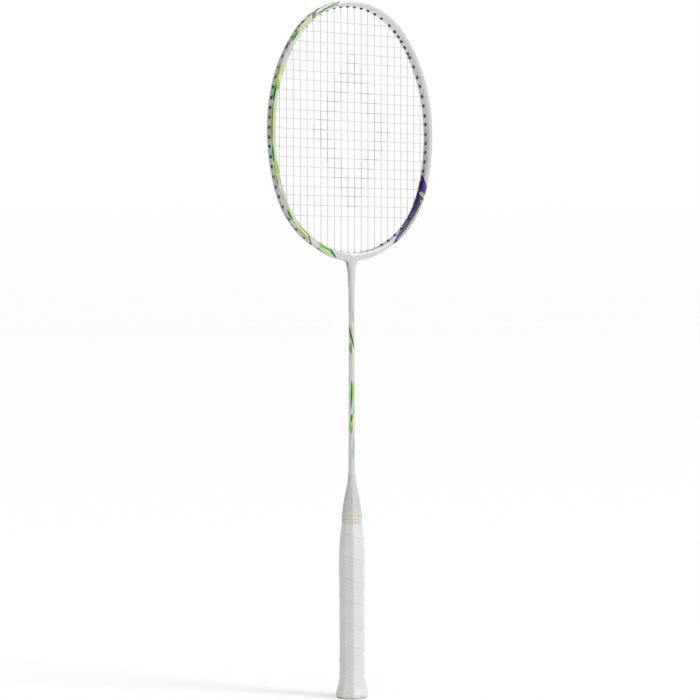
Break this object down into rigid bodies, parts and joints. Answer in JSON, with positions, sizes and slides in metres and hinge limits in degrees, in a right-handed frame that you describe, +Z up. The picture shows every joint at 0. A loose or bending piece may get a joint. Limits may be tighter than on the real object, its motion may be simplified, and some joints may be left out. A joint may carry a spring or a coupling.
{
  "type": "badminton racket",
  "caption": "Badminton racket with an oval strung head, slim round shaft, tapered cone and octagonal wrapped handle.",
  "frame": {"origin": "centre of the butt's end face", "axes": "+Z up the shaft towards the head, X across the head, -Y the front face of the string bed"},
  "size_m": [0.1864, 0.028, 0.675],
  "materials": {
    "frame_paint": "white lacquer over a carbon laminate, with green ribbons and a violet panel",
    "shaft_paint": "white lacquer over a carbon tube, with thin green strokes",
    "bare_carbon": "bare carbon laminate, satin",
    "cone_plastic": "white moulded plastic, satin",
    "core_wood": "plain light wood",
    "pin_steel": "bright steel",
    "grip_cover": "soft white synthetic grip tape, fine ribs",
    "tape_cream": "cream cloth finishing tape",
    "cap_plastic": "white moulded plastic, matt",
    "badge_plastic": "blank domed badge, gloss",
    "string_nylon": "braided nylon string, slightly translucent, with a plain red-brown stencil",
    "grommet_black": "black nylon, satin",
    "grommet_pale": "pale grey nylon, satin"
  },
  "bodies": {
    "root": {"head_frame": "frame_paint", "t_joint": "bare_carbon", "throat_fairing": "frame_paint", "shaft": "shaft_paint", "handle_cone": "cone_plastic", "handle_core": "core_wood", "shaft_pin": "pin_steel", "grip_wrap": "grip_cover", "grip_tack": "pin_steel", "finishing_tape": "tape_cream", "butt_cap": "cap_plastic", "butt_badge": "badge_plastic", "main_string": "string_nylon", "cross_string": "string_nylon", "grommets_crown": "grommet_black", "grommets_upper_left": "grommet_black", "grommets_upper_right": "grommet_black", "grommets_side_left": "grommet_black", "grommets_side_right": "grommet_black", "grommets_lower_left": "grommet_black", "grommets_lower_right": "grommet_black", "grommets_throat": "grommet_pale"}
  },
  "joints": []
}
